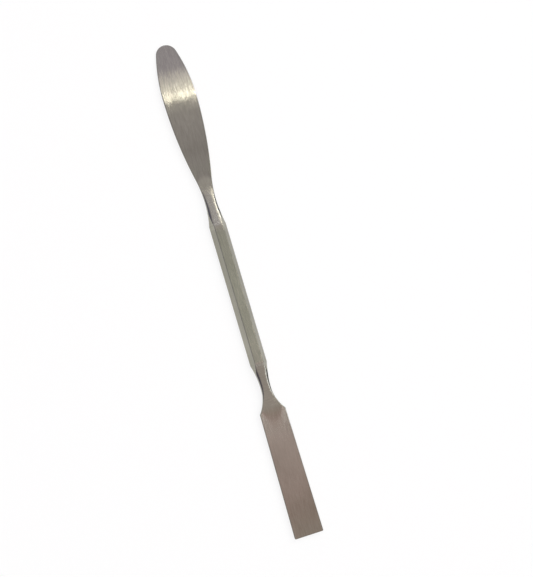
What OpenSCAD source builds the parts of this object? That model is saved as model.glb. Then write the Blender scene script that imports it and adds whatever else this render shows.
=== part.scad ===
// Lab spatula, forged and ground as one piece from hexagonal steel bar:
// a leaf blade with a turned-down tip, a hexagonal handle and a square-ended blade.
// X runs along the spatula from the leaf to the square blade, Z is up, and it rests on Z = 0.

/* [Leaf blade] */
// Length from the leaf tip to the narrowest point of its neck
leaf_length = 64; // [58:0.5:76]
// Greatest width of the leaf
leaf_width = 13.3; // [12:0.1:15]
// Distance from the tip to the widest point
leaf_widest_at = 21.5; // [18:0.5:26]
// Radius of the rounded tip
leaf_tip_radius = 4.2; // [3.4:0.1:5]
// Width of the flat land at the very tip
leaf_tip_land = 0.8; // [0.4:0.1:1.6]
// Radius of the hollow that leads each edge into the neck
leaf_hollow_radius = 47; // [35:1:55]
// Thickness where the leaf leaves its neck
leaf_root_thickness = 1.2; // [0.9:0.05:1.6]
// Thickness at the leaf tip
leaf_tip_thickness = 0.8; // [0.5:0.05:1.2]

/* [Leaf tip bend] */
// Distance from the tip at which the leaf starts to turn down
bend_start = 27.5; // [20:0.5:40]
// Straight stretch at the tip, past the bend
bend_straight = 9; // [4:0.5:14]
// Angle of the turned-down tip, in degrees
bend_angle = 7.5; // [1:0.5:12]

/* [Leaf neck] */
// Length from the narrowest point to the handle
leaf_neck_length = 10; // [7:0.5:14]
// Width at the narrowest point
leaf_neck_width = 4.6; // [4:0.1:5.4]
// Length of the ramp ground from the handle down to the leaf
leaf_ramp_length = 24; // [16:0.5:30]

/* [Handle] */
// Length of the full hexagonal stretch
handle_length = 56; // [40:1:90]
// Width of the hexagonal bar across its flats
handle_across_flats = 6; // [5.6:0.1:8]
// Depth by which the corners of the bar are softened
handle_corner_softening = 0.07; // [0.02:0.01:0.15]

/* [Square blade neck] */
// Length from the handle to the narrowest point
blade_neck_length = 10; // [7:0.5:14]
// Width at the narrowest point
blade_neck_width = 4; // [3.4:0.1:5.4]
// Length from the narrowest point to the shoulders
shoulder_length = 9.5; // [7:0.5:14]
// Length of the ramp ground from the handle down to the blade
blade_ramp_length = 28; // [20:0.5:36]

/* [Square blade] */
// Length from the shoulders to the square end
blade_length = 50.5; // [40:0.5:80]
// Width across the shoulders
shoulder_width = 10.5; // [8:0.1:14]
// Width at the square end
blade_end_width = 11.8; // [8:0.1:16]
// Radius of the two end corners
blade_corner_radius = 0.5; // [0.2:0.1:2]
// Thickness where the blade leaves its neck
blade_root_thickness = 1.2; // [0.9:0.05:1.6]
// Thickness at the square end
blade_end_thickness = 0.8; // [0.5:0.05:1.2]

/* [Grinding] */
// Mean slope of the sides that are ground round along the necks, in degrees
neck_side_slope = 17; // [12:1:24]
// Reach of these sides past the narrowest points, towards the blades
neck_side_reach = 5; // [3:0.5:7]
// Width of the softened edges of the blades
edge_break = 0.15; // [0.05:0.05:0.3]

/* [Hidden] */

// The bar in section: a regular hexagon with a flat on top and a flat underneath
bar_half_height = handle_across_flats / 2;
bar_corner_radius = bar_half_height / cos(30);

// Places along the spatula, measured from the leaf tip
leaf_waist_at = leaf_length;
handle_start = leaf_waist_at + leaf_neck_length;
handle_end = handle_start + handle_length;
blade_waist_at = handle_end + blade_neck_length;
shoulder_at = blade_waist_at + shoulder_length;
overall_length = shoulder_at + blade_length;
leaf_ramp_end = handle_start - leaf_ramp_length;
blade_ramp_end = handle_end + blade_ramp_length;

// Arcs: the rise at a run along a tangent arc, and the radius that reaches a rise at a run
function arc_rise(radius, run) = radius - sqrt(radius * radius - run * run);
function arc_radius(run, rise) = (run * run + rise * rise) / (2 * rise);

// Leaf outline: a tip circle, a flank and a back that meet at the widest point, and a hollow
leaf_half = leaf_width / 2;
leaf_neck_half = leaf_neck_width / 2;
flank_run = leaf_widest_at - leaf_tip_radius;
flank_radius = (flank_run * flank_run + leaf_half * leaf_half - leaf_tip_radius * leaf_tip_radius)
    / (2 * (leaf_half - leaf_tip_radius));
flank_at = leaf_tip_radius * (1 - flank_run / (flank_radius - leaf_tip_radius));
back_run = leaf_waist_at - leaf_widest_at;
back_radius = arc_radius(back_run, leaf_half - leaf_neck_half) - leaf_hollow_radius;
hollow_at = leaf_widest_at + back_run * back_radius / (back_radius + leaf_hollow_radius);
leaf_scoop_radius = arc_radius(leaf_neck_length, bar_corner_radius - leaf_neck_half);

function leaf_half_width(s) =
    s < flank_at ? sqrt(s * (2 * leaf_tip_radius - s)) :
    s < leaf_widest_at ? leaf_half - arc_rise(flank_radius, leaf_widest_at - s) :
    s < hollow_at ? leaf_half - arc_rise(back_radius, s - leaf_widest_at) :
    s < leaf_waist_at ? leaf_neck_half + arc_rise(leaf_hollow_radius, leaf_waist_at - s) :
    leaf_neck_half + arc_rise(leaf_scoop_radius, s - leaf_waist_at);

// Square blade outline: a scoop into the neck, a shoulder arc, straight edges and end corners
blade_neck_half = blade_neck_width / 2;
shoulder_half = shoulder_width / 2;
blade_end_half = blade_end_width / 2;
blade_scoop_radius = arc_radius(blade_neck_length, bar_corner_radius - blade_neck_half);
shoulder_radius = arc_radius(shoulder_length, shoulder_half - blade_neck_half);
corner_at = overall_length - blade_corner_radius;

function blade_edge(s) =
    shoulder_half + (blade_end_half - shoulder_half) * (s - shoulder_at) / blade_length;
function blade_half_width(s) =
    s < blade_waist_at ? blade_neck_half + arc_rise(blade_scoop_radius, blade_waist_at - s) :
    s < shoulder_at ? blade_neck_half + arc_rise(shoulder_radius, s - blade_waist_at) :
    s < corner_at ? blade_edge(s) :
    blade_edge(s) - arc_rise(blade_corner_radius, s - corner_at);

// Half thickness of each blade, even along its ramp and then tapering to its end
function taper(root, end, share) = (root + (end - root) * max(0, share)) / 2;
function leaf_half_thickness(s) =
    taper(leaf_root_thickness, leaf_tip_thickness, (leaf_ramp_end - s) / leaf_ramp_end);
function blade_half_thickness(s) =
    taper(blade_root_thickness, blade_end_thickness,
        (s - blade_ramp_end) / (overall_length - blade_ramp_end));

// Half height of the ramps: a hollow arc from the blade face up to the flat of the bar
leaf_ramp_radius = arc_radius(leaf_ramp_length, bar_half_height - leaf_root_thickness / 2);
blade_ramp_radius = arc_radius(blade_ramp_length, bar_half_height - blade_root_thickness / 2);
function leaf_ramp_height(s) =
    leaf_half_thickness(s) + arc_rise(leaf_ramp_radius, max(0, s - leaf_ramp_end));
function blade_ramp_height(s) =
    blade_half_thickness(s) + arc_rise(blade_ramp_radius, max(0, blade_ramp_end - s));

// Drop of the turned-down tip below the axis of the handle
bend_radius = (bend_start - bend_straight) / sin(bend_angle);
function tip_drop(s) =
    s < bend_straight ? tip_drop(bend_straight) + (bend_straight - s) * tan(bend_angle) :
    arc_rise(bend_radius, max(0, bend_start - s));
axis_height = max(bar_half_height, tip_drop(0) + leaf_tip_thickness / 2);

// Sides of a section: narrow on the blades, widening along a neck to the facet of the bar
side_slope = tan(neck_side_slope);
side_shares = [1, 2 / 3, 1 / 3, 0];
function side_width(neck_share) =
    edge_break + (bar_corner_radius / 2 - edge_break) * sqrt(min(1, max(0, neck_share)));

// One section, listed round its outline: a flat face above and below, and sides that curve away
function section(s, half_width, half_height, neck_share) =
    let (
        side = min(side_width(neck_share), half_width / 2),
        face_half = half_width - side,
        right = [for (t = side_shares) [face_half + side * t, half_height - side_slope * side * t * t]],
        left = [for (i = [len(right) - 1:-1:0]) [-right[i][0], right[i][1]]],
        upper = concat(right, left),
        x = s - overall_length / 2,
        z = axis_height - tip_drop(s)
    )
    concat(
        [for (p = upper) [x, p[0], z + p[1]]],
        [for (i = [len(upper) - 1:-1:0]) [x, upper[i][0], z - upper[i][1]]]
    );

function leaf_section(s) =
    section(s, leaf_half_width(s), leaf_ramp_height(s),
        (s - leaf_waist_at + neck_side_reach) / (leaf_neck_length + neck_side_reach));
function blade_section(s) =
    section(s, blade_half_width(s), blade_ramp_height(s),
        (blade_waist_at + neck_side_reach - s) / (blade_neck_length + neck_side_reach));

// Places of the sections: close together where the outline curves fast.
// Both necks run on a little into the handle, where the sections stand clear of the bar.
function spread(from, to, steps) = [for (i = [0:steps - 1]) from + (to - from) * i / steps];
neck_overrun = 2.1;
tip_steps = 8;
flank_steps = 12;
back_steps = 20;
hollow_steps = 8;
neck_steps = 11;
shoulder_steps = 12;
ramp_steps = 6;
corner_steps = 6;
tip_first_angle = asin(leaf_tip_land / 2 / leaf_tip_radius);
tip_last_angle = acos(1 - flank_at / leaf_tip_radius);
leaf_places = concat(
    [for (a = spread(tip_first_angle, tip_last_angle, tip_steps)) leaf_tip_radius * (1 - cos(a))],
    spread(flank_at, leaf_widest_at, flank_steps),
    spread(leaf_widest_at, hollow_at, back_steps),
    spread(hollow_at, leaf_waist_at, hollow_steps),
    spread(leaf_waist_at, handle_start + neck_overrun, neck_steps),
    [handle_start + neck_overrun]
);
blade_places = concat(
    spread(handle_end - neck_overrun, blade_waist_at, neck_steps),
    spread(blade_waist_at, shoulder_at, shoulder_steps),
    spread(shoulder_at, blade_ramp_end, ramp_steps),
    [blade_ramp_end],
    [for (a = spread(0, 90, corner_steps)) corner_at + blade_corner_radius * sin(a)],
    [overall_length]
);

// Overlap that the bar and the rooms around the blades have, and their reach past each end
room_margin = 1;

// Skin of the forging, with sections joined one to the next
module forged_skin() {
    rings = concat(
        [for (s = leaf_places) leaf_section(s)],
        [for (s = blade_places) blade_section(s)]
    );
    count = len(rings[0]);
    last = len(rings) - 1;
    sides = [
        for (i = [0:last - 1])
        for (j = [0:count - 1])
        let (
            a = i * count + j,
            b = i * count + (j + 1) % count,
            c = b + count,
            d = a + count
        )
        each [[a, c, b], [a, d, c]]
    ];
    strips = [for (j = [0:count / 2 - 2]) [j, j + 1, count - 2 - j, count - 1 - j]];
    tip_end = strips;
    square_end = [for (strip = strips) [for (j = [3:-1:0]) last * count + strip[j]]];
    polyhedron(points = [for (ring = rings) each ring], faces = concat(sides, tip_end, square_end));
}

// Hexagonal bar with softened corners, from just before one narrowest point to just past the other
module hexagonal_bar() {
    length = blade_waist_at - leaf_waist_at + 2 * room_margin;
    translate([leaf_waist_at - room_margin - overall_length / 2, 0, axis_height])
    rotate([0, 90, 0])
    intersection() {
        rotate([0, 0, 30])
        cylinder(h = length, r = bar_corner_radius, $fn = 6);
        cylinder(h = length, r = bar_corner_radius - handle_corner_softening, $fn = 96);
    }
}

// Room around a blade, which the bar does not limit
module blade_room(from, to) {
    room = 2 * max(leaf_width, shoulder_width, blade_end_width);
    translate([from - overall_length / 2, -room / 2, axis_height - room / 2])
    cube([to - from, room, room]);
}

module spatula() {
    color([0.62, 0.6, 0.57])
    intersection() {
        forged_skin();
        union() {
            hexagonal_bar();
            blade_room(-room_margin, leaf_waist_at);
            blade_room(blade_waist_at, overall_length + room_margin);
        }
    }
}

spatula();
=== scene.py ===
# %% [markdown]
# # A lab spatula in brushed steel
#
# The real tool is one length of hexagonal stainless bar. Both ends are hammered flat, ground to
# shape and brushed: a leaf with a turned-down tip, and a long square-ended blade. This script
# loads the solid that was modelled for it, skins a finer surface on the same drawing, gives it
# the finish of the real steel, and lights it as a tool lying on a white bench.

# %% Load the frame
import math

import bpy
from mathutils import Matrix, Vector


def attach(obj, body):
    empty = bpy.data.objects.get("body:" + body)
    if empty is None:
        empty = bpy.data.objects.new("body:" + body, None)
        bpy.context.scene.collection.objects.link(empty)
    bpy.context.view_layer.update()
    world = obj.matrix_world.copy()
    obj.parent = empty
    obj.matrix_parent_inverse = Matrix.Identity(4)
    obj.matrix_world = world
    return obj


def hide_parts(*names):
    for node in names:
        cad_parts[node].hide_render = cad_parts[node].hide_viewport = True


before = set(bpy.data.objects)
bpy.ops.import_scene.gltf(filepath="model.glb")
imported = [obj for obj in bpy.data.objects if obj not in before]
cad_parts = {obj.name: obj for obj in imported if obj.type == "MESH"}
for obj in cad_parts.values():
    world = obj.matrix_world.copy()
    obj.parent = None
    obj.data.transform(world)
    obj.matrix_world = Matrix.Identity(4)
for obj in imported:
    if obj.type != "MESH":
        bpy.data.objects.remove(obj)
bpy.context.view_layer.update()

# %% [markdown]
# ## Three small helpers
#
# Blender works in metres and in linear colour, while a drawing is in millimetres and a colour is
# written as an sRGB hex value. MM turns the one, and linear turns the other. The third helper adds
# a node of any kind to a tree with its settings, and wires up whichever of its inputs are given
# another node's output. A tree then reads as a list of what it is made of.

# %% Helpers
MM = 0.001


def linear(hex_code):
    """The linear colour, with alpha, of an sRGB hex value such as '9b958d'."""
    shares = [int(hex_code[i:i + 2], 16) / 255 for i in (0, 2, 4)]
    return [s / 12.92 if s <= 0.04045 else ((s + 0.055) / 1.055) ** 2.4 for s in shares] + [1.0]


def add_node(tree, kind, inputs=None, **settings):
    """A new node in a tree. An input is given a plain value or another node's output socket."""
    node = tree.nodes.new(kind)
    for name, value in settings.items():
        setattr(node, name, value)
    for key, value in (inputs or {}).items():
        if isinstance(value, bpy.types.NodeSocket):
            tree.links.new(value, node.inputs[key])
        else:
            node.inputs[key].default_value = value
    return node


print("middle grey, 808080, in linear light:", round(linear("808080")[0], 3))

# %% [markdown]
# ## The drawing
#
# Every length here is in millimetres and is the one that the solid was made to. Distances along
# the spatula, called s below, start at the leaf tip. The sizes could be measured off the solid's
# mesh instead, but its facets would come along. From the sizes themselves the skin can be made as
# fine as the light needs, and it still agrees with the solid.

# %% Sizes of the spatula
LEAF_LENGTH = 64.0
LEAF_HALF = 13.3 / 2
LEAF_WIDEST_AT = 21.5
TIP_RADIUS = 4.2
HOLLOW_RADIUS = 47.0  # the long inward curve from the leaf to its neck
LEAF_NECK_LENGTH = 10.0
LEAF_NECK_HALF = 4.6 / 2
LEAF_RAMP_LENGTH = 24.0
BEND_START = 27.5
BEND_STRAIGHT = 9.0  # the end of the turned-down tip is straight again
BEND_ANGLE = math.radians(7.5)
HANDLE_LENGTH = 56.0
BAR_HALF_HEIGHT = 6.0 / 2
CORNER_SOFTENING = 0.07  # what rounding takes off each side corner of the bar
BLADE_NECK_LENGTH = 10.0
BLADE_NECK_HALF = 4.0 / 2
SHOULDER_LENGTH = 9.5
SHOULDER_HALF = 10.5 / 2
BLADE_RAMP_LENGTH = 28.0
BLADE_LENGTH = 50.5
BLADE_END_HALF = 11.8 / 2
BLADE_CORNER_RADIUS = 0.5
ROOT_HALF_THICKNESS = 1.2 / 2
END_HALF_THICKNESS = 0.8 / 2
NECK_SIDE_SLOPE = math.tan(math.radians(17))  # mean fall of the curved sides of the necks
NECK_SIDE_REACH = 5.0  # how far these sides run on past the narrowest places, onto the blades
EDGE_BREAK = 0.15

BAR_CORNER_RADIUS = BAR_HALF_HEIGHT / math.cos(math.radians(30))
HANDLE_START = LEAF_LENGTH + LEAF_NECK_LENGTH
HANDLE_END = HANDLE_START + HANDLE_LENGTH
MIDDLE = (HANDLE_START + HANDLE_END) / 2
BLADE_WAIST_AT = HANDLE_END + BLADE_NECK_LENGTH
SHOULDER_AT = BLADE_WAIST_AT + SHOULDER_LENGTH
LENGTH = SHOULDER_AT + BLADE_LENGTH
print("length, mm:", LENGTH)

# %% [markdown]
# ## The outline
#
# Seen from above the tool is a leaf, a neck, the bar, a waist with shoulders and a blade. A spline
# through many points could trace it. Arcs that meet smoothly take far fewer numbers, and an arc is
# what a wheel leaves. arc_rise says how far an arc has left its tangent after a run along it, and
# arc_radius finds the radius that rises so far in so long. With these two, each stretch of the
# outline is one line.

# %% Arcs of the outline


def arc_rise(radius, run):
    """How far an arc has left its tangent after a run along that tangent."""
    return radius - math.sqrt(max(0.0, radius * radius - run * run))


def arc_radius(run, rise):
    """The radius of the arc that leaves its tangent by a rise over a run."""
    return (run * run + rise * rise) / (2 * rise)


FLANK_RUN = LEAF_WIDEST_AT - TIP_RADIUS
FLANK_RADIUS = (FLANK_RUN ** 2 + LEAF_HALF ** 2 - TIP_RADIUS ** 2) / (2 * (LEAF_HALF - TIP_RADIUS))
FLANK_AT = TIP_RADIUS * (1 - FLANK_RUN / (FLANK_RADIUS - TIP_RADIUS))
BACK_RUN = LEAF_LENGTH - LEAF_WIDEST_AT
BACK_RADIUS = arc_radius(BACK_RUN, LEAF_HALF - LEAF_NECK_HALF) - HOLLOW_RADIUS
HOLLOW_AT = LEAF_WIDEST_AT + BACK_RUN * BACK_RADIUS / (BACK_RADIUS + HOLLOW_RADIUS)
LEAF_SCOOP_RADIUS = arc_radius(LEAF_NECK_LENGTH, BAR_CORNER_RADIUS - LEAF_NECK_HALF)
BLADE_SCOOP_RADIUS = arc_radius(BLADE_NECK_LENGTH, BAR_CORNER_RADIUS - BLADE_NECK_HALF)
SHOULDER_RADIUS = arc_radius(SHOULDER_LENGTH, SHOULDER_HALF - BLADE_NECK_HALF)
CORNER_AT = LENGTH - BLADE_CORNER_RADIUS
print("radii of the leaf's flank and back, mm:", round(FLANK_RADIUS, 1), round(BACK_RADIUS, 1))

# %% Outline
LEAN_STEP = 0.05  # the outline's direction is measured over this much to each side


def half_width(s):
    """Half the width of the outline at s, before the bar's own corners limit it."""
    if s < FLANK_AT:
        return math.sqrt(max(0.0, s * (2 * TIP_RADIUS - s)))
    if s < LEAF_WIDEST_AT:
        return LEAF_HALF - arc_rise(FLANK_RADIUS, LEAF_WIDEST_AT - s)
    if s < HOLLOW_AT:
        return LEAF_HALF - arc_rise(BACK_RADIUS, s - LEAF_WIDEST_AT)
    if s < LEAF_LENGTH:
        return LEAF_NECK_HALF + arc_rise(HOLLOW_RADIUS, LEAF_LENGTH - s)
    if s < MIDDLE:
        return LEAF_NECK_HALF + arc_rise(LEAF_SCOOP_RADIUS, s - LEAF_LENGTH)
    if s < BLADE_WAIST_AT:
        return BLADE_NECK_HALF + arc_rise(BLADE_SCOOP_RADIUS, BLADE_WAIST_AT - s)
    if s < SHOULDER_AT:
        return BLADE_NECK_HALF + arc_rise(SHOULDER_RADIUS, s - BLADE_WAIST_AT)
    edge = SHOULDER_HALF + (BLADE_END_HALF - SHOULDER_HALF) * (s - SHOULDER_AT) / BLADE_LENGTH
    return edge - arc_rise(BLADE_CORNER_RADIUS, max(0.0, s - CORNER_AT))


def edge_lean(s):
    """Share by which a distance across the blade shortens to one square to its edge."""
    if s < FLANK_AT:
        return half_width(s) / TIP_RADIUS
    rise = (half_width(min(LENGTH, s + LEAN_STEP)) - half_width(s - LEAN_STEP)) / (2 * LEAN_STEP)
    return 1 / math.hypot(1, rise) if s < CORNER_AT else 1.0


print("leaf width at its widest, mm:", round(2 * half_width(LEAF_WIDEST_AT), 2))

# %% [markdown]
# ## The thickness, the ramps and the sides
#
# Seen from the side, both blades are thin plates that get thinner towards their ends. Next to the
# handle each plate rises into the bar along a ramp, part of a large circle. Along the necks the
# sides curve away from the face. They are narrow on the blades and wide at the bar. These could
# be cut out of a block with booleans. As plain functions of s they give the section at any place,
# and nothing has to be cut.

# %% Thickness, ramps and sides
LEAF_RAMP_END = HANDLE_START - LEAF_RAMP_LENGTH
BLADE_RAMP_END = HANDLE_END + BLADE_RAMP_LENGTH
RAMP_RISE = BAR_HALF_HEIGHT - ROOT_HALF_THICKNESS
LEAF_RAMP_RADIUS = arc_radius(LEAF_RAMP_LENGTH, RAMP_RISE)
BLADE_RAMP_RADIUS = arc_radius(BLADE_RAMP_LENGTH, RAMP_RISE)


def half_thickness(s):
    """Half the thickness of the plate: even along a ramp, then thinner towards the blade's end."""
    leaf_share = (LEAF_RAMP_END - s) / LEAF_RAMP_END
    blade_share = (s - BLADE_RAMP_END) / (LENGTH - BLADE_RAMP_END)
    share = max(0.0, leaf_share, blade_share)
    return ROOT_HALF_THICKNESS + (END_HALF_THICKNESS - ROOT_HALF_THICKNESS) * share


def half_height(s):
    """Half height of the plate and, nearer the handle, of the ramp that is ground up from it."""
    on_ramp = s - LEAF_RAMP_END if s < MIDDLE else BLADE_RAMP_END - s
    radius = LEAF_RAMP_RADIUS if s < MIDDLE else BLADE_RAMP_RADIUS
    return half_thickness(s) + arc_rise(radius, max(0.0, on_ramp))


def side_width(s):
    """Width of the side that curves away from the face: narrow on the blades, wide at the bar."""
    leaf_share = (s - LEAF_LENGTH + NECK_SIDE_REACH) / (LEAF_NECK_LENGTH + NECK_SIDE_REACH)
    blade_share = (BLADE_WAIST_AT + NECK_SIDE_REACH - s) / (BLADE_NECK_LENGTH + NECK_SIDE_REACH)
    share = min(1.0, max(0.0, min(leaf_share, blade_share)))
    return EDGE_BREAK + (BAR_CORNER_RADIUS / 2 - EDGE_BREAK) * math.sqrt(share)


print("radii of the ramps, mm:", round(LEAF_RAMP_RADIUS, 1), round(BLADE_RAMP_RADIUS, 1))

# %% [markdown]
# ## The bend
#
# The tip of the leaf is turned down by a gentle arc, and its end is straight again. A Simple Deform
# modifier could bend a finished mesh, but it would pull the outline along. Here each section is
# lowered by its own drop, so the outline seen from above stays as it was drawn.

# %% Bend
BEND_RADIUS = (BEND_START - BEND_STRAIGHT) / math.sin(BEND_ANGLE)


def tip_drop(s):
    """How far the turned-down tip lies below the middle of the handle."""
    straight = max(0.0, BEND_STRAIGHT - s) * math.tan(BEND_ANGLE)
    return arc_rise(BEND_RADIUS, max(0.0, BEND_START - max(s, BEND_STRAIGHT))) + straight


def tip_slope(s):
    """Slope of the bend at s, as rise over run."""
    return math.tan(math.asin(max(0.0, BEND_START - max(s, BEND_STRAIGHT)) / BEND_RADIUS))


print("drop of the leaf's end, mm:", round(tip_drop(0.0), 2))

# %% [markdown]
# ## The grain
#
# The blades and the handle were brushed lengthwise. In the necks light draws out along the tool, as
# it does on steel that was ground across. The change could be painted on by hand as a mask. Since
# it only depends on s, it is one more function of s, which the material reads later.

# %% Grain
LEAF_CROSS_FADE = (LEAF_LENGTH - 5.5, LEAF_LENGTH - 3.0)
HANDLE_CROSS_FADE = (HANDLE_START + 2.0, HANDLE_START + 1.0)
NECK_CROSS_FADE = (HANDLE_END + 0.4, HANDLE_END + 1.4)
SHOULDER_CROSS_FADE = (BLADE_WAIST_AT + 8.5, BLADE_WAIST_AT + 6.0)


def faded(s, fade):
    """Share of the way from the first place of a fade to its second, from 0 to 1."""
    start, end = fade
    return min(1.0, max(0.0, (s - start) / (end - start)))


def cross_ground(s):
    """1 where the necks were ground across, fading to 0 on the blades and on the handle."""
    leaf_neck = min(faded(s, LEAF_CROSS_FADE), faded(s, HANDLE_CROSS_FADE))
    blade_neck = min(faded(s, NECK_CROSS_FADE), faded(s, SHOULDER_CROSS_FADE))
    return leaf_neck if s < MIDDLE else blade_neck


print("ground across at both waists:", cross_ground(LEAF_LENGTH), cross_ground(BLADE_WAIST_AT))

# %% [markdown]
# ## A spine that carries the drawing
#
# A skin can be modelled by hand, or swept along a curve with one profile. Here the profile itself
# changes all the way, from a thin leaf to a hexagon to a flat blade. So the drawing is put on a
# spine: a row of points, close together where the shape turns fast, with the sizes of the section
# stored on each point. The next step lets Geometry Nodes skin it.

# %% Stations along the spine
TIP_TURN = math.radians(2.5)
LEAF_STEP = 0.6
NECK_STEP = 0.4
RUN_OUT_REACH = 1.5  # to each side of the handle's ends, where the flats of the bar run out
RUN_OUT_STEP = 0.12
HANDLE_STEP = 1.5
SHOULDER_STEP = 0.35
BLADE_STEP = 0.8
CORNER_TURN = math.radians(4)


def stretch(start, end, step):
    """Evenly spaced places from start up to, but not including, end."""
    count = max(1, round((end - start) / step))
    return [start + (end - start) * i / count for i in range(count)]


TIP_LAST_ANGLE = math.acos(1 - FLANK_AT / TIP_RADIUS)
stations = [TIP_RADIUS * (1 - math.cos(a)) for a in stretch(0, TIP_LAST_ANGLE, TIP_TURN)]
for start, end, step in (
        (FLANK_AT, LEAF_LENGTH, LEAF_STEP),
        (LEAF_LENGTH, HANDLE_START - RUN_OUT_REACH, NECK_STEP),
        (HANDLE_START - RUN_OUT_REACH, HANDLE_START + RUN_OUT_REACH, RUN_OUT_STEP),
        (HANDLE_START + RUN_OUT_REACH, HANDLE_END - RUN_OUT_REACH, HANDLE_STEP),
        (HANDLE_END - RUN_OUT_REACH, HANDLE_END + RUN_OUT_REACH, RUN_OUT_STEP),
        (HANDLE_END + RUN_OUT_REACH, BLADE_WAIST_AT, NECK_STEP),
        (BLADE_WAIST_AT, SHOULDER_AT, SHOULDER_STEP),
        (SHOULDER_AT, CORNER_AT, BLADE_STEP)):
    stations += stretch(start, end, step)
corner_turns = stretch(0, math.pi / 2, CORNER_TURN)
stations += [CORNER_AT + BLADE_CORNER_RADIUS * math.sin(a) for a in corner_turns]
stations += [LENGTH]
print("stations:", len(stations))

# %% Sizes at each station
NO_LIMIT = 20.0  # wider and higher than any section


def in_bar(s):
    """True on the handle and its necks, where the hexagonal bar limits the section."""
    return LEAF_LENGTH < s < BLADE_WAIST_AT


def skin_half_width(s):
    """Half the width of the section, which stays inside the softened corners of the bar."""
    return min(half_width(s), BAR_CORNER_RADIUS - CORNER_SOFTENING if in_bar(s) else NO_LIMIT)


def bar_room(s):
    """Room above the bar's flats: none in the bar, and on the blades enough to lift the limit."""
    return 0.0 if in_bar(s) else NO_LIMIT


section_sizes = {
    "along": lambda s: s - LENGTH / 2,
    "half_width": skin_half_width,
    "half_thickness": half_thickness,
    "half_height": half_height,
    "side_width": side_width,
    "bar_room": bar_room,
    "drop": tip_drop,
    "to_end": lambda s: LENGTH - s,
}
section_shares = {"slope": tip_slope, "edge_lean": edge_lean, "cross_ground": cross_ground}
print("sizes at each station:", list(section_sizes) + list(section_shares))

# %% Spine
spine_mesh = bpy.data.meshes.new("spine")
spine_mesh.from_pydata([(MM * (s - LENGTH / 2), 0, 0) for s in stations], [], [])
for rules, unit in ((section_sizes, MM), (section_shares, 1.0)):
    for name, rule in rules.items():
        values = spine_mesh.attributes.new(name, "FLOAT", "POINT")
        values.data.foreach_set("value", [unit * rule(s) for s in stations])
spine = bpy.data.objects.new("spine", spine_mesh)
bpy.context.scene.collection.objects.link(spine)
print("points on the spine:", len(spine_mesh.vertices))

# %% [markdown]
# ## Skinning the spine with Geometry Nodes
#
# The skin is a tube that is squeezed to a new section at every station. The tree starts from a
# flat grid: one row for each station, and one column for each place round the section. Each row
# looks up its own sizes on the spine. Nothing is stored in the grid by hand, so a finer skin only
# takes more stations or more columns.

# %% Tree: inputs
AXIS_HEIGHT = BAR_HALF_HEIGHT  # the tool lies on its handle
tree = bpy.data.node_groups.new("forged_skin", "GeometryNodeTree")
tree.interface.new_socket("Geometry", in_out="INPUT", socket_type="NodeSocketGeometry")
tree_inputs = {
    "Bar half height": MM * BAR_HALF_HEIGHT,
    "Bar corner radius": MM * BAR_CORNER_RADIUS,
    "Axis height": MM * AXIS_HEIGHT,
    "Corner softness": MM * 0.5,
    "Ramp softness": MM * 0.10,
    "Neck side slope": NECK_SIDE_SLOPE,
    "Ramp crown": 0.014 / MM,  # 0.014 mm of fall at 1 mm from the middle, by the square of that
    "Run-out softness": MM * 0.14,
    "Edge radius": MM * 0.18,
    "Line crowding": 0.9,
    "Bend skew": math.tan(math.radians(3.5)),
}
sockets = {
    name: tree.interface.new_socket(name, in_out="INPUT", socket_type="NodeSocketFloat")
    for name in tree_inputs
}
steel_socket = tree.interface.new_socket("Steel", in_out="INPUT", socket_type="NodeSocketMaterial")
tree.interface.new_socket("Geometry", in_out="OUTPUT", socket_type="NodeSocketGeometry")
given = add_node(tree, "NodeGroupInput").outputs
print("inputs of the tree:", list(tree_inputs))

# %% Tree: the grid
RING = 128
grid = add_node(tree, "GeometryNodeMeshGrid", {
    "Size X": 1.0, "Size Y": 1.0, "Vertices X": len(stations), "Vertices Y": RING + 1})
place = add_node(tree, "ShaderNodeSeparateXYZ", {
    0: add_node(tree, "GeometryNodeInputPosition").outputs[0]}).outputs
row = add_node(tree, "ShaderNodeMath", {0: place[0], 1: 0.5}, operation="ADD").outputs[0]
row = add_node(tree, "ShaderNodeMath", {
    0: row, 1: float(len(stations) - 1)}, operation="MULTIPLY").outputs[0]
row = add_node(tree, "FunctionNodeFloatToInt", {0: row}, rounding_mode="ROUND").outputs[0]
size = {}
for name in list(section_sizes) + list(section_shares):
    stored = add_node(tree, "GeometryNodeInputNamedAttribute", {"Name": name}, data_type="FLOAT")
    size[name] = add_node(tree, "GeometryNodeSampleIndex", {
        "Geometry": given["Geometry"], "Value": stored.outputs[0], "Index": row},
        data_type="FLOAT", domain="POINT").outputs[0]
print("grid:", len(stations), "rows of", RING + 1, "points, each with", len(size), "sizes")

# %% [markdown]
# ## Where a column lies across the section
#
# The columns of a row run over the top from the +Y edge to the other one, and back underneath, so
# turn goes from 0 to 4 and the first and last columns meet. Evenly spaced lines would miss the
# tight curves. A sine wave takes part of each space away and adds it elsewhere: lines crowd in the
# middle, at both edges, and halfway out, where the flat of the bar ends in a corner.

# %% Tree: the place across the section
WAVE_TURNS = 4 * math.pi
turn = add_node(tree, "ShaderNodeMath", {
    0: place[1], 1: 4.0, 2: 2.0}, operation="MULTIPLY_ADD").outputs[0]
from_far_edge = add_node(tree, "ShaderNodeMath", {0: turn, 1: 2.0}, operation="SUBTRACT").outputs[0]
from_far_edge = add_node(tree, "ShaderNodeMath", {0: from_far_edge}, operation="ABSOLUTE").outputs[0]
even = add_node(tree, "ShaderNodeMath", {0: from_far_edge, 1: 1.0}, operation="SUBTRACT").outputs[0]
upper = add_node(tree, "ShaderNodeMath", {0: turn, 1: 2.0}, operation="LESS_THAN").outputs[0]
side = add_node(tree, "ShaderNodeMath", {
    0: upper, 1: 2.0, 2: -1.0}, operation="MULTIPLY_ADD").outputs[0]
wave = add_node(tree, "ShaderNodeMath", {0: even, 1: WAVE_TURNS}, operation="MULTIPLY").outputs[0]
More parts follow.
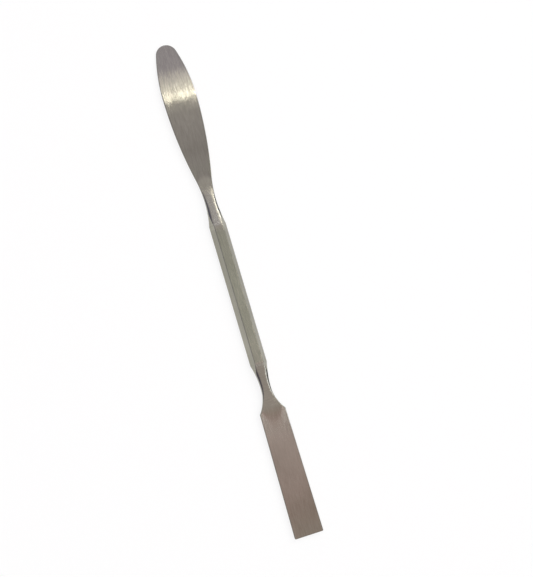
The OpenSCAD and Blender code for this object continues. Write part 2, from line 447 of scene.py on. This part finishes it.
wave = add_node(tree, "ShaderNodeMath", {0: wave}, operation="SINE").outputs[0]
crowd = add_node(tree, "ShaderNodeMath", {
    0: given["Line crowding"], 1: -1 / WAVE_TURNS}, operation="MULTIPLY").outputs[0]
across = add_node(tree, "ShaderNodeMath", {
    0: wave, 1: crowd, 2: even}, operation="MULTIPLY_ADD").outputs[0]
y = add_node(tree, "ShaderNodeMath", {
    0: across, 1: size["half_width"]}, operation="MULTIPLY").outputs[0]
off_middle = add_node(tree, "ShaderNodeMath", {0: y}, operation="ABSOLUTE").outputs[0]
print("nodes with the place across:", len(tree.nodes))

# %% [markdown]
# ## How high the section is there
#
# The height is put together as a maker would cut it. The plate and the ramp that rises out of it
# are the face. The ramp spans the full width and is slightly crowned, so it runs out into the plate
# in a curve. The sides curve away from the face, and the hexagonal bar limits it all. Plain minimum
# and maximum would leave knife edges where these meet. The smooth ones round each meeting, as
# buffing does.

# %% Tree: the bar
FACET_SLOPE = math.tan(math.radians(60))
to_corner = add_node(tree, "ShaderNodeMath", {
    0: given["Bar corner radius"], 1: off_middle}, operation="SUBTRACT").outputs[0]
facet = add_node(tree, "ShaderNodeMath", {
    0: to_corner, 1: FACET_SLOPE}, operation="MULTIPLY").outputs[0]
bar = add_node(tree, "ShaderNodeMath", {
    0: given["Bar half height"], 1: facet, 2: given["Corner softness"]},
    operation="SMOOTH_MIN").outputs[0]
bar = add_node(tree, "ShaderNodeMath", {0: bar, 1: size["bar_room"]}, operation="ADD").outputs[0]
print("nodes with the bar:", len(tree.nodes))

# %% Tree: the face and its sides
crown = add_node(tree, "ShaderNodeMath", {0: y, 1: y}, operation="MULTIPLY").outputs[0]
crown = add_node(tree, "ShaderNodeMath", {
    0: crown, 1: given["Ramp crown"]}, operation="MULTIPLY").outputs[0]
ramp = add_node(tree, "ShaderNodeMath", {
    0: size["half_height"], 1: crown}, operation="SUBTRACT").outputs[0]
face = add_node(tree, "ShaderNodeMath", {
    0: size["half_thickness"], 1: ramp, 2: given["Run-out softness"]},
    operation="SMOOTH_MAX").outputs[0]

off_side = add_node(tree, "ShaderNodeMath", {
    0: size["half_width"], 1: off_middle}, operation="SUBTRACT").outputs[0]
on_side = add_node(tree, "ShaderNodeMath", {
    0: size["side_width"], 1: off_side}, operation="SUBTRACT").outputs[0]
side_share = add_node(tree, "ShaderNodeMath", {
    0: on_side, 1: size["side_width"]}, operation="DIVIDE", use_clamp=True).outputs[0]
fall = add_node(tree, "ShaderNodeMath", {0: side_share, 1: side_share}, operation="MULTIPLY").outputs[0]
for factor in (size["side_width"], given["Neck side slope"]):
    fall = add_node(tree, "ShaderNodeMath", {0: fall, 1: factor}, operation="MULTIPLY").outputs[0]
ground = add_node(tree, "ShaderNodeMath", {0: face, 1: fall}, operation="SUBTRACT").outputs[0]
height = add_node(tree, "ShaderNodeMath", {
    0: bar, 1: ground, 2: given["Ramp softness"]}, operation="SMOOTH_MIN").outputs[0]
print("nodes with the height:", len(tree.nodes))

# %% [markdown]
# ## The rounded edge and the bend
#
# A blade's sharp edge is broken, and then catches a thin line of light. A Bevel modifier could
# round it, but here top and bottom come from one formula: over the last stretch before the edge
# the height shrinks as a quarter circle does. At the edge itself top and bottom meet. The bend then
# lowers each section, a little more on the +Y side, because the real bend lies slightly askew.

# %% Tree: the rounded edge and the finished place
to_side = add_node(tree, "ShaderNodeMath", {
    0: off_side, 1: size["edge_lean"]}, operation="MULTIPLY").outputs[0]
to_edge = add_node(tree, "ShaderNodeMath", {
    0: to_side, 1: size["to_end"]}, operation="MINIMUM").outputs[0]
inside = add_node(tree, "ShaderNodeMath", {
    0: to_edge, 1: given["Edge radius"]}, operation="DIVIDE", use_clamp=True).outputs[0]
outside = add_node(tree, "ShaderNodeMath", {0: 1.0, 1: inside}, operation="SUBTRACT").outputs[0]
outside = add_node(tree, "ShaderNodeMath", {0: outside, 1: outside}, operation="MULTIPLY").outputs[0]
rounding = add_node(tree, "ShaderNodeMath", {0: 1.0, 1: outside}, operation="SUBTRACT").outputs[0]
rounding = add_node(tree, "ShaderNodeMath", {0: rounding}, operation="SQRT").outputs[0]
rounded = add_node(tree, "ShaderNodeMath", {0: height, 1: rounding}, operation="MULTIPLY").outputs[0]

skew = add_node(tree, "ShaderNodeMath", {0: y, 1: given["Bend skew"]}, operation="MULTIPLY").outputs[0]
drop = add_node(tree, "ShaderNodeMath", {
    0: skew, 1: size["slope"], 2: size["drop"]}, operation="MULTIPLY_ADD").outputs[0]
level = add_node(tree, "ShaderNodeMath", {
    0: given["Axis height"], 1: drop}, operation="SUBTRACT").outputs[0]
z = add_node(tree, "ShaderNodeMath", {
    0: rounded, 1: side, 2: level}, operation="MULTIPLY_ADD").outputs[0]
point = add_node(tree, "ShaderNodeCombineXYZ", {0: size["along"], 1: y, 2: z}).outputs[0]
print("nodes with the finished place:", len(tree.nodes))

# %% [markdown]
# ## Closing the skin
#
# Each grid point moves to its finished place and keeps the grain that belongs there. Top and bottom
# now touch all round the edge, so merging points by distance closes the skin. The grid's faces point
# inwards once it is rolled up, and are flipped. The export drops instances, so the tree ends with
# Realize Instances and Set Material.

# %% Tree: the closed skin
MERGE_DISTANCE = MM * 0.0005
skin = add_node(tree, "GeometryNodeStoreNamedAttribute", {
    "Geometry": grid.outputs["Mesh"], "Name": "cross_ground", "Value": size["cross_ground"]},
    data_type="FLOAT", domain="POINT").outputs[0]
skin = add_node(tree, "GeometryNodeSetPosition", {"Geometry": skin, "Position": point}).outputs[0]
skin = add_node(tree, "GeometryNodeMergeByDistance", {
    "Geometry": skin, "Distance": MERGE_DISTANCE}).outputs[0]
skin = add_node(tree, "GeometryNodeFlipFaces", {"Mesh": skin}).outputs[0]
skin = add_node(tree, "GeometryNodeSetShadeSmooth", {
    "Geometry": skin, "Shade Smooth": True}).outputs[0]
skin = add_node(tree, "GeometryNodeRealizeInstances", {"Geometry": skin}).outputs[0]
skin = add_node(tree, "GeometryNodeSetMaterial", {
    "Geometry": skin, "Material": given["Steel"]}).outputs[0]
add_node(tree, "NodeGroupOutput", {"Geometry": skin})
print("nodes in the tree:", len(tree.nodes))

# %% [markdown]
# ## The steel
#
# Stainless steel is a warm, slightly grey mirror. What the eye reads as brushed is a mass of fine
# parallel scratches. They scatter light across their own direction and hardly along it, so a lamp
# becomes a bright band that lies across the grain. Along the blades and the handle the grain runs
# lengthwise. In the necks it runs across, so there the light draws out along the tool. A picture of
# brushed metal could be wrapped round the piece. Noise that is stretched along the grain needs no
# picture and no unwrapping, and its sizes are given in millimetres.

# %% Steel: patterns
STREAK_WIDTH = 0.5  # real brush lines are about 0.05 mm wide: drawn coarser so that they show
STREAK_LENGTH = 4.5
CROSS_STREAK_WIDTH = 0.4
CROSS_STREAK_LENGTH = 5.0
COARSE_WIDTH = 0.6  # the coarse lines round the bend of the leaf, also drawn wider than real ones
COARSE_LENGTH = 4.0
MOTTLE = 14.0  # faint cloudy patches

# Brushed stainless steel gives the eye a soft, warm grey sheen that stretches across the grain,
# with fine lines in it that only show where a reflection begins or ends.
steel = bpy.data.materials.new("brushed_stainless_steel")
steel.use_nodes = True
nodes = steel.node_tree
nodes.nodes.clear()
where = add_node(nodes, "ShaderNodeTexCoord").outputs["Object"]
pattern = {}
for name, grain_size, detail in (
        ("long", (STREAK_LENGTH, STREAK_WIDTH, STREAK_WIDTH), 2.0),
        ("cross", (CROSS_STREAK_WIDTH, CROSS_STREAK_LENGTH, CROSS_STREAK_LENGTH), 2.0),
        ("coarse", (COARSE_LENGTH, COARSE_WIDTH, COARSE_WIDTH), 1.0)):
    stretched = add_node(nodes, "ShaderNodeMapping", {
        "Vector": where, "Scale": [1 / (MM * length) for length in grain_size]})
    pattern[name] = add_node(nodes, "ShaderNodeTexNoise", {
        "Vector": stretched.outputs[0], "Scale": 1.0, "Detail": detail}).outputs[0]
pattern["mottle"] = add_node(nodes, "ShaderNodeTexNoise", {
    "Vector": where, "Scale": 1 / (MM * MOTTLE), "Detail": 1.5}).outputs[0]
print("patterns in the steel:", list(pattern))

# %% [markdown]
# ## Which way the grain runs
#
# A shader has one tangent at each point, so two grains can't simply be mixed: halfway between them
# would be a third, slanting one. Instead each point takes one grain or the other by chance, and the
# share that was stored on the skin sets the odds. From a distance this is a fade.

# %% Steel: direction
ACROSS_THE_TOOL = (0.0, 1.0, 0.0)  # the way that lengthwise grain spreads light
ALONG_THE_TOOL = (1.0, 0.0, 0.0)  # the way that steel ground across spreads it
ground_across = add_node(nodes, "ShaderNodeAttribute", attribute_name="cross_ground").outputs["Fac"]
chance = add_node(nodes, "ShaderNodeTexWhiteNoise", {"Vector": where}).outputs["Value"]
is_cross = add_node(nodes, "ShaderNodeMath", {
    0: ground_across, 1: chance}, operation="GREATER_THAN").outputs[0]
streaks = add_node(nodes, "ShaderNodeMix", {
    "Factor": is_cross, "A": pattern["long"], "B": pattern["cross"]}, data_type="FLOAT").outputs[0]
# A Mix node has sockets for each type of data, with the same names. Numbers 4 and 5 are vectors.
tangent = add_node(nodes, "ShaderNodeMix", {
    0: is_cross, 4: ACROSS_THE_TOOL, 5: ALONG_THE_TOOL}, data_type="VECTOR").outputs[1]
print("nodes with the direction of the grain:", len(nodes.nodes))

# %% [markdown]
# ## Tone and gloss
#
# Seen close, steel is never one grey. The brush lines and the patches make it a shade lighter or
# darker, and a little smoother or rougher. One even colour would do from afar, but a large plain
# blade then looks like plastic. So the tone goes from a darker to a lighter warm grey by the
# patterns above, and the roughness goes with the lines.

# %% Steel: tone and gloss
STREAK_SHARE = 0.45
USUAL_NOISE = (0.3, 0.7)  # most of a noise pattern lies between these values
STEEL_TONES = ("908e82", "a8a69a")
STEEL_ROUGHNESS = (0.17, 0.22)
tone = add_node(nodes, "ShaderNodeMath", {
    0: pattern["mottle"], 1: 1 - STREAK_SHARE}, operation="MULTIPLY").outputs[0]
tone = add_node(nodes, "ShaderNodeMath", {
    0: streaks, 1: STREAK_SHARE, 2: tone}, operation="MULTIPLY_ADD").outputs[0]
colour = add_node(nodes, "ShaderNodeValToRGB", {0: tone})
for element, position, hex_code in zip(colour.color_ramp.elements, USUAL_NOISE, STEEL_TONES):
    element.position = position
    element.color = linear(hex_code)
roughness = add_node(nodes, "ShaderNodeMapRange", {
    "Value": streaks, "From Min": USUAL_NOISE[0], "From Max": USUAL_NOISE[1],
    "To Min": STEEL_ROUGHNESS[0], "To Max": STEEL_ROUGHNESS[1]}).outputs[0]
print("steel tones:", STEEL_TONES, "and roughness:", STEEL_ROUGHNESS)

# %% [markdown]
# ## Relief in the steel
#
# Brush lines are shallow grooves. A Bump node makes them from the pattern, and very faint waves from
# the patches, but it turns the surface to the sides of a line, where the grain spreads light anyway.
# Round the bend of the leaf the real lines fray the borders of the bright band. So there the normal
# is also tilted along the tool, by another amount in each coarse line, which moves the band a
# little to and fro from line to line.

# %% Steel: relief
STREAK_DEPTH = 0.018
MOTTLE_DEPTH = 0.012
COARSE_TILT = 0.034  # as a slope, between the lines that lean most to either side
COARSE_FROM = -62.0  # from the middle of the tool
COARSE_FULL = -74.0
waves = add_node(nodes, "ShaderNodeBump", {
    "Height": pattern["mottle"], "Distance": MM * MOTTLE_DEPTH, "Strength": 1.0}).outputs[0]
depth = add_node(nodes, "ShaderNodeMapRange", {
    "Value": ground_across, "To Min": MM * STREAK_DEPTH, "To Max": 0.0}).outputs[0]
scratches = add_node(nodes, "ShaderNodeBump", {
    "Height": pattern["long"], "Distance": depth, "Strength": 1.0, "Normal": waves}).outputs[0]

place_along = add_node(nodes, "ShaderNodeSeparateXYZ", {0: where}).outputs[0]
most_lean = add_node(nodes, "ShaderNodeMapRange", {
    "Value": place_along, "From Min": MM * COARSE_FROM, "From Max": MM * COARSE_FULL,
    "To Min": 0.0, "To Max": COARSE_TILT}).outputs[0]
lean = add_node(nodes, "ShaderNodeMath", {
    0: pattern["coarse"], 1: 0.5}, operation="SUBTRACT").outputs[0]
lean = add_node(nodes, "ShaderNodeMath", {0: lean, 1: most_lean}, operation="MULTIPLY").outputs[0]
tilt = add_node(nodes, "ShaderNodeCombineXYZ", {0: lean}).outputs[0]
tilted = add_node(nodes, "ShaderNodeVectorMath", {0: scratches, 1: tilt}, operation="ADD").outputs[0]
tilted = add_node(nodes, "ShaderNodeVectorMath", {0: tilted}, operation="NORMALIZE").outputs[0]
print("nodes with the relief:", len(nodes.nodes))

# %% Steel: shader
surface = add_node(nodes, "ShaderNodeBsdfPrincipled", {
    "Base Color": colour.outputs[0], "Metallic": 1.0, "Roughness": roughness, "Anisotropic": 1.0,
    "Tangent": tangent, "Normal": tilted})
add_node(nodes, "ShaderNodeOutputMaterial", {0: surface.outputs[0]})
print("material:", steel.name, "with", len(nodes.nodes), "nodes")

# %% [markdown]
# ## From tree to plain mesh
#
# The modifier's inputs are set by their identifiers before anything is evaluated. Applying the
# modifier with an operator would do, but that needs the right object selected. Copying the evaluated
# result to a plain mesh doesn't, and the spine has then done its work.

# %% Skin the spine
skinning = spine.modifiers.new("forged_skin", "NODES")
skinning.node_group = tree
for name, value in tree_inputs.items():
    skinning[sockets[name].identifier] = value
skinning[steel_socket.identifier] = steel
evaluated = spine.evaluated_get(bpy.context.evaluated_depsgraph_get())
spatula_mesh = bpy.data.meshes.new_from_object(evaluated)
spatula_mesh.name = "spatula_steel"
spine.modifiers.clear()
bpy.data.objects.remove(spine)

spatula = bpy.data.objects.new("spatula_steel", spatula_mesh)
bpy.context.scene.collection.objects.link(spatula)
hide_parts("spatula")
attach(spatula, "root")
print("skin:", len(spatula_mesh.vertices), "points,", len(spatula_mesh.polygons), "faces")

# %% [markdown]
# ## The bench
#
# The tool lies on a plain white bench. A brighter lamp could wash the floor out to white, but it
# would wash out the steel as well. So part of the floor's brightness is its own, for rays from the
# camera and for rays that reach it by reflection or through glass, and it looks white in the
# picture and in the steel. The rest is real shading, which keeps the soft shadow under the tool.

# %% Floor
FLOOR_HALF = 3.0
FLOOR_DEPTH = -MM * 0.02  # a hair below the handle, so that no two faces share a plane
floor_mesh = bpy.data.meshes.new("floor")
floor_mesh.from_pydata(
    [(x * FLOOR_HALF, y * FLOOR_HALF, FLOOR_DEPTH) for x, y in ((-1, -1), (1, -1), (1, 1), (-1, 1))],
    [], [(0, 1, 2, 3)])
floor = bpy.data.objects.new("floor", floor_mesh)
bpy.context.scene.collection.objects.link(floor)
print("floor:", 2 * FLOOR_HALF, "m square")

# %% White laminate
OWN_LIGHT = 0.8  # share of the brightness that is the floor's own

# White laminate is matt and even, so the eye gets a plain ground with nothing on it but shadow.
bench = bpy.data.materials.new("white_laminate")
bench.use_nodes = True
nodes = bench.node_tree
nodes.nodes.clear()
ray = add_node(nodes, "ShaderNodeLightPath").outputs
seen = ray["Is Camera Ray"]
for kind in ("Is Glossy Ray", "Is Transmission Ray"):
    seen = add_node(nodes, "ShaderNodeMath", {0: seen, 1: ray[kind]}, operation="MAXIMUM").outputs[0]
share = add_node(nodes, "ShaderNodeMath", {0: seen, 1: OWN_LIGHT}, operation="MULTIPLY").outputs[0]
white = add_node(nodes, "ShaderNodeEmission", {"Color": linear("ffffff"), "Strength": 1.0})
shaded = add_node(nodes, "ShaderNodeBsdfDiffuse", {"Color": linear("f4f4f2")})
mixed = add_node(nodes, "ShaderNodeMixShader", {0: share, 1: shaded.outputs[0], 2: white.outputs[0]})
add_node(nodes, "ShaderNodeOutputMaterial", {0: mixed.outputs[0]})
floor_mesh.materials.append(bench)
print("material:", bench.name)

# %% [markdown]
# ## The room
#
# Bare metal shows its room, so the room is half of its look. A panorama of a real one could be
# loaded. Two colour ramps are easier to steer. One goes by the angle along the tool: paler and
# darker bands, which the ramps and the bend pick up one after the other, and a warmer tint past the
# square blade. The other goes by the angle across the tool and is darker to both sides, which draws
# the dark lines along the corners of the bar and the sides of the necks. The stops were found by
# trying. The camera itself sees plain white.

# %% Colours of the room
ALONG_REACH = math.radians(45)
ACROSS_REACH = math.radians(90)
ALONG_STOPS = (
    (-40, "dad6de"), (-25, "e4dcee"), (-18, "fcf6fa"), (-15, "ccc6ca"), (-12.8, "ccc6ca"),
    (-10.8, "f4eef0"), (-9.5, "f6f0f4"), (-8.2, "ccc4ca"), (-6.5, "c5bdc3"), (-3, "e6e6e2"),
    (0, "ebebe7"), (3, "d8d8d2"), (4.8, "f6e6e8"), (6.2, "ffeaee"), (8.2, "ffe9ea"),
    (9.2, "dec2c6"), (10.4, "d0b4a8"), (11.4, "e6dcda"), (14, "dcd2d2"), (22, "dcd2d4"),
    (40, "c0b8b8"))
ACROSS_STOPS = (
    (-90, "e8e8ea"), (-72, "989cae"), (-28, "989cae"), (-13, "ffffff"), (0, "ffffff"),
    (28, "ffffff"), (42, "9498a4"), (76, "9498a4"), (90, "e8e8ea"))
print("stops along:", len(ALONG_STOPS), "and across:", len(ACROSS_STOPS))

# %% World
world = bpy.data.worlds.new("room")
bpy.context.scene.world = world
world.use_nodes = True
nodes = world.node_tree
nodes.nodes.clear()
direction = add_node(nodes, "ShaderNodeTexCoord").outputs["Generated"]
direction = add_node(nodes, "ShaderNodeSeparateXYZ", {0: direction}).outputs
walls = []
for axis, reach, stops in ((0, ALONG_REACH, ALONG_STOPS), (1, ACROSS_REACH, ACROSS_STOPS)):
    angle = add_node(nodes, "ShaderNodeMath", {
        0: direction[axis], 1: direction[2]}, operation="ARCTAN2").outputs[0]
    angle = add_node(nodes, "ShaderNodeMapRange", {
        "Value": angle, "From Min": -reach, "From Max": reach}).outputs[0]
    wall = add_node(nodes, "ShaderNodeValToRGB", {0: angle})
    elements = wall.color_ramp.elements
    while len(elements) < len(stops):
        elements.new(0.5)
    for element, (degrees, hex_code) in zip(elements, stops):
        element.position = 0.5 + math.radians(degrees) / (2 * reach)
        element.color = linear(hex_code)
    walls.append(wall.outputs[0])
# Sockets 6 and 7 of a Mix node are its two colours.
room = add_node(nodes, "ShaderNodeMix", {
    0: 1.0, 6: walls[0], 7: walls[1]}, data_type="RGBA", blend_type="MULTIPLY").outputs[2]
camera_ray = add_node(nodes, "ShaderNodeLightPath").outputs["Is Camera Ray"]
room_seen = add_node(nodes, "ShaderNodeMix", {
    0: camera_ray, 6: room, 7: linear("ffffff")}, data_type="RGBA").outputs[2]
background = add_node(nodes, "ShaderNodeBackground", {"Color": room_seen, "Strength": 1.0})
add_node(nodes, "ShaderNodeOutputWorld", {0: background.outputs[0]})
print("world:", world.name, "with", len(nodes.nodes), "nodes")

# %% [markdown]
# ## The lamps
#
# One big softbox would do for paint or plastic. Steel needs a lamp wherever a highlight is to lie.
# A long strip past the leaf tip is what the bend of the leaf catches as its bright band, and three
# weaker glows beside the strip soften the band's borders. A fill further out reaches the end of the
# tip, and two softboxes to the right light the right sides of the handle and of the blade. Two
# small cards close above the necks light those alone. The bench light shades the floor and isn't
# reflected in the steel.

# %% A softbox
LAMP_DISTANCE = 1.2
WIDE = math.pi
WARM = "fffaf0"


def softbox(name, angles, size, watts, colour=WARM, over=(0, 0, 0), distance=LAMP_DISTANCE,
            spread=WIDE, hidden_from=()):
    """An area lamp that faces a place on the tool, in mm from the origin.

    The angles, in degrees along and across the tool, lean it away from straight above that place.
    Its size along and across is in metres. It is hidden from the kinds of ray that are named.
    """
    lamp = bpy.data.lights.new(name, "AREA")
    lamp.shape = "RECTANGLE"
    lamp.size, lamp.size_y = size
    lamp.energy = watts
    lamp.color = linear(colour)[:3]
    lamp.spread = spread
    made = bpy.data.objects.new(name, lamp)
    aim = Vector([math.tan(math.radians(angle)) for angle in angles] + [1])
    aim.normalize()
    side_x = (Vector((1, 0, 0)) - aim * aim.x).normalized()
    side_y = aim.cross(side_x)
    made.matrix_world = Matrix(
        [(side_x[i], side_y[i], aim[i], MM * over[i] + distance * aim[i]) for i in range(3)]
        + [(0, 0, 0, 1)])
    for kind in hidden_from:
        setattr(made, "visible_" + kind, False)
    bpy.context.scene.collection.objects.link(made)
    return made


print("lamps stand", LAMP_DISTANCE, "m away unless a distance is given")

# %% Lamps
COOL = "eef3ff"
NEUTRAL = "ffffff"
NARROW = math.radians(18)
LEAF_CARD_DISTANCE = 0.12
SHOULDER_CARD_DISTANCE = 0.15
lamps = [
    softbox("strip_past_the_tip", (-20.9, 30.0), (0.036, 0.75), 1.3),
    softbox("glow_before_the_strip", (-18.9, 30.0), (0.05, 0.75), 0.06),
    softbox("glow_past_the_strip", (-23.7, 30.0), (0.065, 0.75), 0.36),
    softbox("glow_further_out", (-27.6, 30.0), (0.12, 0.75), 0.35),
    softbox("card_by_the_leaf_neck", (-30.0, 37.0), (0.03, 0.03), 0.00025, COOL, (-27.0, 2.3, 5.0),
            LEAF_CARD_DISTANCE, NARROW, ("diffuse", "camera")),
    softbox("fill_past_the_tip", (-45.0, 8.5), (0.14, 0.2), 0.45, COOL, hidden_from=("diffuse",)),
    softbox("softbox_right_of_handle", (1.0, 40.0), (0.2, 0.22), 0.5),
    softbox("softbox_right_of_blade", (28.5, 32.0), (0.2, 0.3), 0.6, COOL),
    softbox("card_by_the_shoulder", (8.0, 38.0), (0.02, 0.04), 0.014, COOL, (42.5, 2.5, 4.0),
            SHOULDER_CARD_DISTANCE, WIDE, ("diffuse", "camera")),
    softbox("bench_light", (0.0, 0.0), (1.0, 1.0), 9.0, NEUTRAL, hidden_from=("glossy",)),
]
print("lamps:", [lamp.name for lamp in lamps])

# %% [markdown]
# ## The camera
#
# The picture looks almost straight down, from a little to the left of the tool, so that the left
# facet of the handle shows wider than the right one. The tool leans in the frame, with its leaf up.
# The camera could be turned by three angles. Here its right, up and back directions are worked out
# from the tool's own axes, so the lean and the tilt are one number each.

# %% Place of the camera
IMAGE_WIDTH = 533
IMAGE_HEIGHT = 577
TOOL_COLUMN = 236.6  # pixel place of the tool's middle in the picture
TOOL_ROW = 289.7
TOOL_SPAN = 512.0  # pixels of a straight tool; the turned-down tip lies further off and looks shorter
TOOL_TURN = math.radians(16.5)
LEFT_TILT = math.radians(8.5)
LENS = 85.0
SENSOR = 36.0

pixel = LENGTH / TOOL_SPAN
distance = IMAGE_HEIGHT * pixel * LENS / SENSOR
along = Vector((1, 0, 0))
over = Vector((0, math.cos(LEFT_TILT), math.sin(LEFT_TILT)))
back = Vector((0, -math.sin(LEFT_TILT), math.cos(LEFT_TILT)))
right = math.sin(TOOL_TURN) * along + math.cos(TOOL_TURN) * over
up = -math.cos(TOOL_TURN) * along + math.sin(TOOL_TURN) * over
off_centre = (IMAGE_WIDTH / 2 - TOOL_COLUMN) * right + (TOOL_ROW - IMAGE_HEIGHT / 2) * up
target = Vector((0, 0, AXIS_HEIGHT)) + pixel * off_centre
print("one pixel, mm:", round(pixel, 3), "from a distance, mm:", round(distance))

# %% Camera
CLIP_START = 0.01
lens = bpy.data.cameras.new("camera")
lens.lens = LENS
lens.sensor_width = SENSOR
lens.clip_start = CLIP_START
camera = bpy.data.objects.new("camera", lens)
camera.matrix_world = Matrix.Translation(MM * (target + distance * back)) @ Matrix(
    [(right[i], up[i], back[i], 0) for i in range(3)] + [(0, 0, 0, 1)])
bpy.context.scene.collection.objects.link(camera)
bpy.context.scene.camera = camera
bpy.context.scene.view_settings.view_transform = "Standard"
print("camera height, mm:", round(1000 * camera.matrix_world.translation.z))
